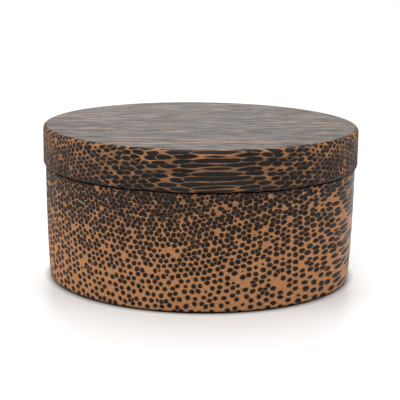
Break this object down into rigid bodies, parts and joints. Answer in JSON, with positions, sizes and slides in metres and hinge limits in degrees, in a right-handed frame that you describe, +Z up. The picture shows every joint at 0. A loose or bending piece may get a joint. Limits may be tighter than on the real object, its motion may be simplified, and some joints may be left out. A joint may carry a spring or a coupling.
{
  "type": "jewelry box",
  "caption": "Low round box turned from dark palm wood, with a flat lift-off lid over an inner rim, a padded velvet lining and a felt base, for keeping jewelry.",
  "frame": {"origin": "middle of the base felt's underside, on the surface the box stands on", "axes": "+Z up along the turning axis; -Y towards the viewer of the picture"},
  "size_m": [0.12, 0.12, 0.0584],
  "materials": {
    "palm_wood": "satin lacquered palm wood with dark fibre bundles",
    "lining_velvet": "short-pile velvet",
    "lining_card": "plain grey-brown card",
    "base_felt": "pressed wool felt"
  },
  "bodies": {
    "box": {"box_body": "palm_wood", "wall_board": "lining_card", "wall_lining": "lining_velvet", "floor_board": "lining_card", "floor_pad": "lining_velvet", "base_felt": "base_felt"},
    "lid": {"lid": "palm_wood", "lid_board": "lining_card", "lid_pad": "lining_velvet"}
  },
  "joints": [
    {"name": "lid_lift", "type": "slide", "parent": "box", "child": "lid", "axis": [0, 0, 1], "range_m": [0, 0.09]}
  ]
}
